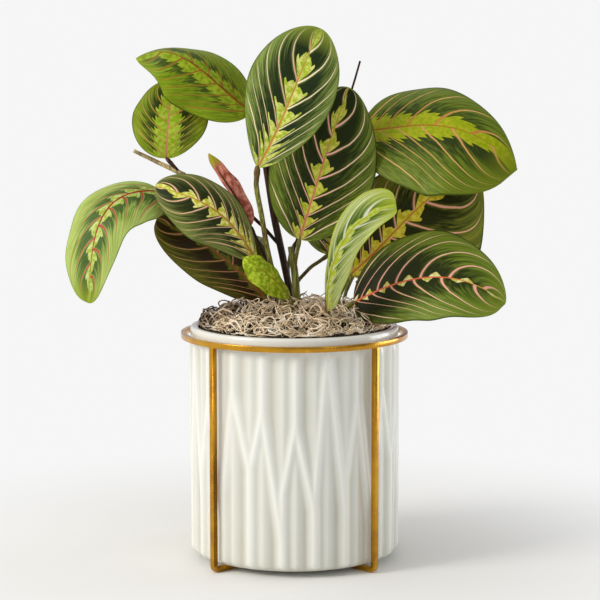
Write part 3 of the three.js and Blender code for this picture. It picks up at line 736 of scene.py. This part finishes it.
def blade_mesh(leaf):
    """A grid with its s across and t along, carried to the blade's shape, with two maps."""
    columns, rows = GRID if max(leaf["wide"]) > SMALL_BLADE else SMALL_GRID
    bm = bmesh.new()
    bmesh.ops.create_grid(bm, x_segments=columns, y_segments=rows, size=1.0)
    on_blade = bm.loops.layers.uv.new("blade")
    on_veins = bm.loops.layers.uv.new("veins")
    frames, spots = {}, {}
    for vert in bm.verts:
        s, v = vert.co.x, (vert.co.y + 1) / 2
        t = v + ROW_CROWDING * (0.5 - 0.5 * math.cos(math.pi * v) - v)
        row = round(v * rows)
        if row not in frames:
            frames[row] = rib_frame(leaf, t)
        place, reach = blade_point(leaf, s, t, frames[row])
        vert.co = place * MM
        spots[vert] = (s, t, reach)
    for face in bm.faces:
        right = sum(spots[loop.vert][0] for loop in face.loops) > 0
        for loop in face.loops:
            s, t, reach = spots[loop.vert]
            loop[on_blade].uv = (abs(s), t)
            k = vein_count(leaf, math.copysign(max(abs(s), 1e-6), 1 if right else -1), t)
            loop[on_veins].uv = (2 * k + (RIGHT_SIDE if right else 0), reach / REACH_UNIT)
    mesh = bpy.data.meshes.new("blade")
    bm.normal_update()
    bm.to_mesh(mesh)
    bm.free()
    return mesh


def on_blade(tree):
    """Where a point is on its blade: out from the midrib and along it, from 0 to 1, the vein map's
    two values, the count of veins with a little wander, how far a vein is, and the place in metres.
    """
    a, t, _ = add(tree, "SeparateXYZ", [add(tree, "UVMap", uv_map="blade")]).outputs
    k, m, _ = add(tree, "SeparateXYZ", [add(tree, "UVMap", uv_map="veins")]).outputs
    place = add(tree, "TexCoord").outputs["Object"]
    wander = add(tree, "TexNoise", {"Vector": place, "Scale": 55, "Detail": 2})  # 18 mm
    bent = add(tree, "Math MULTIPLY_ADD", [wander, 0.3, k])
    to_vein = add(tree, "Math PINGPONG", [bent, 1.0])
    return a, t, k, m, bent, to_vein, place


def leaf_look(
    name, base, light, dark, lime, veins, rib, band, pinch=0.12, fingers_end=(0.2, 0.65),
    vein_width=0.12, edge="#4a5a18", tip=None, sheen=0.0, starts=0.02, ends=1.0, paler_tip=0.0,
    shade=None,
):
    """The upper side of a blade.

    band: how far the lime blotches reach from the midrib, in millimetres. pinch: how far they
    shrink where a vein crosses them. starts, ends: where a blotch begins to widen and is narrow
    again, from 0 at a vein to 1 at the next. fingers_end: where the dark fingers begin to fade and
    are gone, as shares of the blade's width. paler_tip: how much further out they end at the base
    than at the tip. veins: colours of the veins on the left, on the right and outside. shade: the
    colour of the painted shade that darkens the blade between its veins towards its base.
    """
    made, tree = new_material(name)
    a, t, k, m, bent, to_vein, place = on_blade(tree)
    ragged = add(tree, "TexNoise", {"Vector": place, "Scale": 330, "Detail": 3})  # 3 mm
    along_veins = add(tree, "CombineXYZ", [k, m])
    stretched = add(tree, "Mapping", {"Vector": along_veins, "Scale": (3.2, 13, 1)})
    fingers = add(tree, "TexNoise", {"Vector": stretched, "Scale": 1, "Detail": 2})  # 2 mm by 8 mm
    stretched = add(tree, "Mapping", {"Vector": along_veins, "Scale": (13, 30, 1)})
    fibres = add(tree, "TexNoise", {"Vector": stretched, "Scale": 1, "Detail": 1})  # 0.5 mm wide

    # side veins, thinner outwards
    thick = add(tree, "MapRange", [a, 0, 1, vein_width, vein_width * 0.7])
    core = add(tree, "Math MULTIPLY", [thick, 0.5])
    line = add(tree, "MapRange SMOOTHSTEP", [to_vein, core, thick, 1, 0])
    fade = add(tree, "MapRange SMOOTHSTEP", [a, 0.8, 0.98, 1, 0])
    vein = add(tree, "Math MULTIPLY", [line, fade])

    # dark fingers between the veins, from the midrib outwards
    across_panel = add(tree, "MapRange SMOOTHSTEP", [to_vein, 0.04, 0.3, 0.15, 1])
    uneven = 0.8  # how much the noise moves the fingers' ends
    outwards = add(tree, "Math MULTIPLY_ADD", [fingers, uneven, a])
    outwards = add(tree, "Math MULTIPLY_ADD", [t, paler_tip, outwards])
    fade_from, fade_to = (end + uneven / 2 for end in fingers_end)
    along_panel = add(tree, "MapRange SMOOTHSTEP", [outwards, fade_from, fade_to, 1, 0])
    panel = add(tree, "Math MULTIPLY", [across_panel, along_panel])

    # lime blotches: each spreads along a vein and steps back in teeth towards the next vein
    panels = add(tree, "Math MULTIPLY", [bent, 0.5])
    step = add(tree, "Math FRACT", [panels])
    halves = add(tree, "Math MULTIPLY_ADD", [step, 2.3, 0.15])
    halves = add(tree, "Math FRACT", [halves])
    teeth = add(tree, "Math MULTIPLY_ADD", [halves, 0.26, 0.74])
    widening = add(tree, "MapRange SMOOTHSTEP", [step, starts, starts + 0.22, pinch, 1])
    closing = add(tree, "MapRange", [step, starts + 0.25, ends, 1, pinch])
    towards_tip = add(tree, "MapRange", [t, 0.5, 1.0, band / REACH_UNIT, band / 2.6 / REACH_UNIT])
    reach = add(tree, "Math MULTIPLY", [widening, closing])
    reach = add(tree, "Math MULTIPLY", [reach, teeth])
    reach = add(tree, "Math MULTIPLY", [reach, towards_tip])
    jagged = add(tree, "Math MULTIPLY_ADD", [ragged, -0.012, 0.006])
    reach = add(tree, "Math ADD", [reach, jagged])
    inside = add(tree, "Math SUBTRACT", [reach, 0.005])
    blotch = add(tree, "MapRange SMOOTHSTEP", [m, inside, reach, 1, 0])

    # colours, from the ground up
    outer = add(tree, "MapRange", [a, 0.35, 1, 0, 0.55])
    striped = add(tree, "MapRange", [fingers, 0.4, 0.62, 0, 0.75])
    lit = add(tree, "Math ADD", [outer, striped], use_clamp=True)
    ground = add(tree, "Mix RGBA", [lit, base, light])
    beside_vein = add(tree, "MapRange SMOOTHSTEP", [to_vein, 0.05, 0.3, 0.25, 0])
    ground = add(tree, "Mix RGBA", [beside_vein, ground, light])
    with_panels = add(tree, "Mix RGBA", [panel, ground, dark])
    # painted shade: towards its base the blade is blended towards the shade colour
    painted_base_shade = add(tree, "MapRange", [t, 0, 0.5, 0.8 if shade else 0, 0])
    with_panels = add(tree, "Mix RGBA", [painted_base_shade, with_panels, shade or base])
    ribs = add(tree, "Math PINGPONG", [add(tree, "Math MULTIPLY", [k, 7]), 1.0])
    grain = add(tree, "MapRange", [fibres, 0.3, 0.7, 0.66, 1.06])
    grain = add(tree, "Math MULTIPLY_ADD", [ribs, 0.3, grain])
    shaded = add(tree, "VectorMath SCALE", {"Vector": with_panels, "Scale": grain})
    lit_lime = add(tree, "MapRange", [ragged, 0.4, 0.6, 0, 1])
    lit_lime = add(tree, "Mix RGBA", [lit_lime, lime[0], lime[1]])
    with_lime = add(tree, "Mix RGBA", [blotch, shaded, lit_lime])
    right = add(tree, "Math GREATER_THAN", [k, 0.6 * RIGHT_SIDE])
    vein_colour = add(tree, "Mix RGBA", [right, veins[0], veins[1]])
    vein_outer = add(tree, "MapRange", [a, 0.15, 0.8, 0, 1])
    vein_colour = add(tree, "Mix RGBA", [vein_outer, vein_colour, veins[2]])
    with_veins = add(tree, "Mix RGBA", [vein, with_lime, vein_colour])
    rib_wide = add(tree, "MapRange", [t, 0, 1, 0.0125, 0.004])
    rib_core = add(tree, "Math MULTIPLY", [rib_wide, 0.5])
    rib_line = add(tree, "MapRange SMOOTHSTEP", [m, rib_core, rib_wide, 1, 0])
    rib_colour = add(tree, "Mix RGBA", [add(tree, "MapRange", [t, 0.6, 1, 0, 1]), rib, lime[0]])
    with_rib = add(tree, "Mix RGBA", [rib_line, with_veins, rib_colour])
    rim = add(tree, "MapRange", [a, 0.96, 0.99, 0, 0.9])
    with_rim = add(tree, "Mix RGBA", [rim, with_rib, edge])
    to_tip = add(tree, "MapRange", [t, 0.84, 1, 0, 0.85 if tip else 0])
    colour = add(tree, "Mix RGBA", [to_tip, with_rim, tip or base])

    # sunken veins and a fine leather-like grain
    sunk = add(tree, "Math MULTIPLY", [vein, -1.0])
    height = add(tree, "Math MULTIPLY_ADD", [fingers, 0.5, sunk])
    height = add(tree, "Math MULTIPLY_ADD", [ribs, 0.3, height])
    relief = add(tree, "Bump", {"Height": height, "Strength": 0.45, "Distance": 0.0004})
    gloss = add(tree, "MapRange", [ragged, 0.3, 0.7, 0.38, 0.5])
    shader = add(tree, "BsdfPrincipled", {
        "Base Color": colour, "Roughness": gloss, "Normal": relief, "Sheen Weight": sheen,
        "Sheen Roughness": 0.4, "Specular IOR Level": 0.12,
    })
    add(tree, "OutputMaterial", {"Surface": shader})
    return made


def underside_look(name, base, light, vein, tip=None):
    """The lower side of a blade: matt wine red to rose, with raised paler veins."""
    made, tree = new_material(name)
    _, t, _, m, _, to_vein, place = on_blade(tree)
    mottle = add(tree, "TexNoise", {"Vector": place, "Scale": 260, "Detail": 4})  # 4 mm
    line = add(tree, "MapRange SMOOTHSTEP", [to_vein, 0.04, 0.14, 1, 0])
    rib_line = add(tree, "MapRange SMOOTHSTEP", [m, 0.008, 0.014, 1, 0])
    both = add(tree, "Math MAXIMUM", [line, rib_line])
    patches = add(tree, "MapRange", [mottle, 0.35, 0.65, 0, 1])
    ground = add(tree, "Mix RGBA", [patches, base, light])
    raised = add(tree, "Math MULTIPLY", [both, 0.6])
    colour = add(tree, "Mix RGBA", [raised, ground, vein])
    to_tip = add(tree, "MapRange", [t, 0.8, 0.9, 0, 0.95 if tip else 0])
    colour = add(tree, "Mix RGBA", [to_tip, colour, tip or base])
    relief = add(tree, "Bump", {"Height": both, "Strength": 0.5, "Distance": 0.0004})
    shader = add(tree, "BsdfPrincipled", {
        "Base Color": colour, "Roughness": 0.6, "Normal": relief, "Specular IOR Level": 0.2,
    })
    add(tree, "OutputMaterial", {"Surface": shader})
    return made


LOOKS = {
    "herringbone": leaf_look(
        "leaf, herringbone with lime blotches", "#52681e", "#86984a", "#223014", ("#a6ba28", "#dce07c"),
        ("#e4ae8c", "#fae6c0", "#f6e2be"), "#c88a40", band=13, pinch=0.03, fingers_end=(0.35, 1.05),
        edge="#4c5818", tip="#8c9c34",
    ),
    "dark": leaf_look(
        "leaf, dark with pink veins", "#425412", "#6c7c2a", "#202a06", ("#a4b024", "#d4d05c"),
        ("#eca898", "#f0b4a0", "#f8e0bc"), "#cc7c58", band=10, pinch=0.0, fingers_end=(0.1, 0.75),
        edge="#2c380a", paler_tip=-0.35,
    ),
    "broad_band": leaf_look(
        "leaf, broad lime band", "#465a0a", "#68781e", "#2c380e", ("#8a9a00", "#a4a81c"),
        ("#b8783c", "#cc9458", "#d4ac6c"), "#a06c20", band=16, pinch=0.68, fingers_end=(0.2, 0.6),
        edge="#3c4a08", tip="#6c7810",
    ),
    "gold_spots": leaf_look(
        "leaf, dark with gold spots", "#4e5a10", "#788028", "#242a04", ("#bcae14", "#d8cc48"),
        ("#e0a080", "#e8a888", "#e8bc90"), "#bc7830", band=11, pinch=0.15, fingers_end=(0.2, 0.8),
        edge="#2c3406", shade="#2c2006",
    ),
    "pink_veined": leaf_look(
        "leaf, dark with bright pink veins", "#4c6012", "#70822a", "#242c08", ("#bcb444", "#e8e0ac"),
        ("#ec9c94", "#f0a894", "#f4cca8"), "#cc6440", band=6, pinch=0.0, fingers_end=(0.6, 1.15),
        edge="#34420a", tip="#788828", starts=0.25, ends=0.75, paler_tip=0.8, shade="#1c1a04",
    ),
    "lime_red": leaf_look(
        "leaf, lime with red-brown veins", "#5c7204", "#7e9614", "#3c4c10", ("#708806", "#96a824"),
        ("#8c5a1c", "#9c6420", "#a8782c"), "#94561c", band=11, pinch=0.7, fingers_end=(0.3, 0.5),
        edge="#3c4a06",
    ),
    "lime_wide": leaf_look(
        "leaf, lime centre and dark combs", "#60780a", "#84981e", "#2c3810", ("#88a812", "#acc040"),
        ("#bc7c40", "#c08048", "#cc9c5c"), "#c48858", band=14, pinch=0.7, fingers_end=(0.4, 0.85),
        edge="#3c4206",
    ),
    "pale_ribbed": leaf_look(
        "leaf, pale panels and cream ribs", "#a4b850", "#e0e898", "#5c7a2c", ("#d4e430", "#f4f69c"),
        ("#fefce4", "#fefce4", "#fafad4"), "#c4c844", band=6, pinch=0.5, fingers_end=(0.2, 0.6),
        vein_width=0.22, edge="#b0c218", tip="#bccc30",
    ),
    "young": leaf_look(
        "leaf, young and furled", "#7c7a1c", "#9a9430", "#5c5014", ("#9c9c28", "#b0a83c"),
        ("#a05a48", "#a05a48", "#a87858"), "#94603c", band=3, pinch=0.5, edge="#84741c",
    ),
    "dark_sheen": leaf_look(
        "leaf, dark with a grey sheen", "#4e5e20", "#788040", "#242c0c", ("#b4b428", "#e8e488"),
        ("#e4ac94", "#e4ac94", "#ecbc98"), "#b08034", band=9, pinch=0.0, fingers_end=(0.25, 0.9),
        edge="#3c4c0c", sheen=0.03,
    ),
    "young_drooping": leaf_look(
        "leaf, young lime with red veins", "#86a032", "#acc068", "#48602a", ("#98b034", "#c4d080"),
        ("#b04838", "#b8604c", "#b88060"), "#942c20", band=8, pinch=0.2, fingers_end=(0.25, 0.7),
        vein_width=0.14, edge="#6c8414", tip="#84981c",
    ),
    # painted shade: this look's colours are darkened for a low blade under the others
    "shaded": leaf_look(
        "leaf, dark olive with painted shade", "#464a08", "#6c6c1c", "#2c2004", ("#4c5008", "#686a18"),
        ("#b07850", "#b07850", "#c89c68"), "#845028", band=5, pinch=0.3, fingers_end=(0.3, 0.9),
        edge="#30300a", shade="#301c06",
    ),
    "plain_lime": leaf_look(
        "leaf, plain lime", "#829a04", "#a8bc1c", "#688008", ("#7a9206", "#b4c834"),
        ("#8c8c14", "#8c8c14", "#8c941c"), "#948c18", band=22, pinch=1.0, edge="#7c900c", vein_width=0.08,
    ),
}
UNDERSIDES = {
    "wine": underside_look("leaf underside, wine red", "#642a30", "#884448", "#a86c60"),
    "rose": underside_look("leaf underside, dusty rose", "#a44e38", "#f0a088", "#80402c", tip="#9c9418"),
}

for name, leaf in LEAVES.items():
    blade = new_piece(
        "blade_" + name, blade_mesh(leaf), LOOKS[leaf["look"]], UNDERSIDES[leaf.get("under", "wine")],
    )
    sheet = blade.modifiers.new("thickness", "SOLIDIFY")
    sheet.thickness = BLADE_THICK * MM
    sheet.offset = -1
    sheet.material_offset = 1
    sheet.material_offset_rim = 0
    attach(blade, "root")
    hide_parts("leaf_" + name)

# ---- Stems and petioles ------------------
# Each blade hangs on a thin round petiole that swells into a joint below the blade, the pulvinus,
# and runs on under the blade as its midrib. Petioles and stems stand in the soil under the moss.
STEM_FOOT = 152
PETIOLE_RADIUS = 1.5
PULVINUS_LENGTH, PULVINUS_SWELL = 7, 1.25
FOOT_SWELL = 1.25
UNDER_BLADE = (0.06, 0.14, 0.26, 0.42, 0.6, 0.78)  # where along a blade its midrib has points
GREEN_TRUNK = [(2, -9, 200), (0, -9, 228), (-3, -9, 246)]
GREEN_TRUNK_RADII = (3.2, 3.1, 3.0, 2.9, 2.2)
OLD_STALK = [(-86, 14, 300), (-105, 15, 309), (-126, 16, 319)]
SPIKE = [(1, 13, 200), (-1, 13, 236), (6, 13, 262), (28, 14, 320), (45, 10, 368), (51, 6, 389)]
SPIKE_RADII = (1.0, 1.0, 0.95, 0.9, 0.9, 0.85, 0.85, 0.8)


def from_soil(way):
    """A route with two more points below its first, down into the soil."""
    x, y, z = way[0]
    return [(x, y, STEM_FOOT), (x, y, (STEM_FOOT + z) / 2), *way]


def petiole_route(leaf):
    """Points in metres with their radii: up from the soil, through the pulvinus, under the blade."""
    rooted = leaf.get("rooted", "stem" not in leaf)
    way = from_soil(leaf["way"]) if rooted else leaf["way"]
    base = Vector(leaf["rib"][0])
    along = (base - Vector(leaf["way"][-1])).normalized()
    start = base - along * PULVINUS_LENGTH
    thick = leaf.get("stalk", PETIOLE_RADIUS)
    points = [(Vector(p), thick * (FOOT_SWELL if rooted and i < 2 else 1)) for i, p in enumerate(way)]
    points += [(start - along * 3, thick), (start, thick * 1.05)]
    points += [(start + along * 2, thick * PULVINUS_SWELL), (base - along * 2, thick * 1.2)]
    points += [(base - rib_frame(leaf, 0)[1] * thick * 0.5, thick * 0.9)]
    for t in UNDER_BLADE:
        centre, up, _ = rib_frame(leaf, t)
        here = min(PETIOLE_RADIUS, thick) * (0.62 - 0.45 * t)
        points.append((centre - up * (here + 0.25), here))
    return [(place * MM, radius * MM) for place, radius in points]


def plain_route(points, radii):
    """Points and radii in millimetres, as metres."""
    return [(Vector(p) * MM, r * MM) for p, r in zip(points, radii)]


def stem_look(name, low, middle, high, purple):
    """Petiole skin: satin, with fine lengthwise streaks and a tinge in patches."""
    made, tree = new_material(name)
    place = add(tree, "TexCoord").outputs["Object"]
    lengthwise = add(tree, "Mapping", {"Vector": place, "Scale": (1400, 1400, 60)})  # streaks 0.7 mm
    streaks = add(tree, "TexNoise", {"Vector": lengthwise, "Scale": 1, "Detail": 2})
    patches = add(tree, "TexNoise", {"Vector": place, "Scale": 45, "Detail": 3})  # 22 mm
    colour = add(tree, "ValToRGB", [streaks], stops=[(0.3, low), (0.5, middle), (0.7, high)])
    tinge = add(tree, "MapRange", [patches, 0.45, 0.65, 0, 0.8])
    colour = add(tree, "Mix RGBA", [tinge, colour, purple])
    relief = add(tree, "Bump", {"Height": streaks, "Strength": 0.4, "Distance": 0.0003})
    shader = add(tree, "BsdfPrincipled", {
        "Base Color": colour, "Roughness": 0.5, "Normal": relief, "Specular IOR Level": 0.25,
    })
    add(tree, "OutputMaterial", {"Surface": shader})
    return made


olive = stem_look("olive petiole skin", "#343806", "#6c7024", "#a8a458", "#5c3a1c")
purple_brown = stem_look("purple-brown stem skin", "#140a04", "#34200f", "#5c3c24", "#20100a")
DARK_STEMS = {"left_drooping", "furled_red"}

grouped = {"stem_dark": [], "stem_green": []}
for name, leaf in LEAVES.items():
    grouped.setdefault(leaf.get("stem", "petiole_" + name), []).append(petiole_route(leaf))
grouped["stem_green"].append(plain_route(from_soil(GREEN_TRUNK), GREEN_TRUNK_RADII))
grouped["flower_spike"] = [plain_route(from_soil(SPIKE), SPIKE_RADII)]
straw = stem_look("straw-yellow dry sheath", "#6c4c24", "#d8c488", "#f0e4b4", "#3c2414")
sheath_mesh = curve_mesh([plain_route(OLD_STALK, (2.0, 1.8, 1.5))], 3)
sheath = new_piece("old_stalk", sheath_mesh, straw)
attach(sheath, "root")
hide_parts("stem_dark")
for node, routes in grouped.items():
    dark = node in ("stem_dark", "flower_spike") or node.removeprefix("petiole_") in DARK_STEMS
    stem_mesh = curve_mesh(routes, 3)
    stem = new_piece("skin_" + node, stem_mesh, purple_brown if dark else olive)
    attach(stem, "root")
    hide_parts(node)

# ---- Floor, light and camera -------------
# A pale studio floor that turns white away from the pot, a broad soft light from the front left,
# a weaker one from the right, one that skims the pot's right side, and a camera above the rim.
FLOOR_RADIUS = 6.0
WHITE_FROM, WHITE_AT = 0.09, 0.45  # the radii between which the floor turns white
PLANT_MIDDLE = (0, 0, 0.2)
CAMERA_PLACE = (0.0044, -1.6, 0.4066)
CAMERA_TILT = 7.25  # degrees downwards
CAMERA_LENS, CAMERA_SENSOR = 123.5, 36  # in millimetres


def studio_floor():
    bm = bmesh.new()
    bmesh.ops.create_circle(bm, cap_ends=True, cap_tris=False, segments=96, radius=FLOOR_RADIUS)
    return mesh_of(bm)


studio_white, tree = new_material("matt white studio paper")
place = add(tree, "TexCoord").outputs["Object"]
away = add(tree, "VectorMath LENGTH", [place]).outputs["Value"]
blend = add(tree, "MapRange SMOOTHSTEP", [away, WHITE_FROM, WHITE_AT, 0, 1])
paper = add(tree, "BsdfDiffuse", {"Color": "#efefec"})
glow = add(tree, "Emission", {"Color": "#f6f6f6", "Strength": 1.0})
add(tree, "OutputMaterial", {"Surface": add(tree, "MixShader", [blend, paper, glow])})
floor = new_piece("floor", studio_floor(), studio_white)


def soft_light(name, place, size, power, colour):
    """A square soft box that looks at the middle of the plant."""
    lamp = bpy.data.lights.new(name, "AREA")
    lamp.size, lamp.energy, lamp.color = size, power, linear(colour)[:3]
    holder = placed(name, lamp)
    holder.location = place
    way = Vector(PLANT_MIDDLE) - Vector(place)
    holder.rotation_euler = way.to_track_quat("-Z", "Y").to_euler()


soft_light("key", (-1.9, -1.0, 1.3), 0.9, 32, "#fffaf2")
soft_light("fill", (1.4, -1.6, 0.9), 1.0, 4, "#f6faff")
soft_light("side", (1.9, 0.6, 0.35), 1.2, 20, "#fafcff")
world = bpy.data.worlds.new("studio")
bpy.context.scene.world = world
world.use_nodes = True
tree = world.node_tree
tree.nodes.clear()
# the room is brighter at the left and above, and plain white behind the plant
way = add(tree, "TexCoord").outputs["Generated"]
from_left = add(tree, "VectorMath DOT_PRODUCT", [way, (-0.75, 0.1, 0.45)])
room = add(tree, "MapRange", [from_left.outputs["Value"], -0.65, 0.8, 0.15, 0.95])
seen = add(tree, "LightPath").outputs["Is Camera Ray"]
strength = add(tree, "Mix", [seen, room, 1.0])
sky = add(tree, "Background", {"Color": "#f6f6f6", "Strength": strength})
add(tree, "OutputWorld", {"Surface": sky})
bpy.context.scene.view_settings.view_transform = "Standard"

camera = placed("camera", bpy.data.cameras.new("camera"))
camera.location = CAMERA_PLACE
camera.rotation_euler = (math.radians(90 - CAMERA_TILT), 0, 0)
camera.data.lens = CAMERA_LENS
camera.data.sensor_width = CAMERA_SENSOR
bpy.context.scene.camera = camera
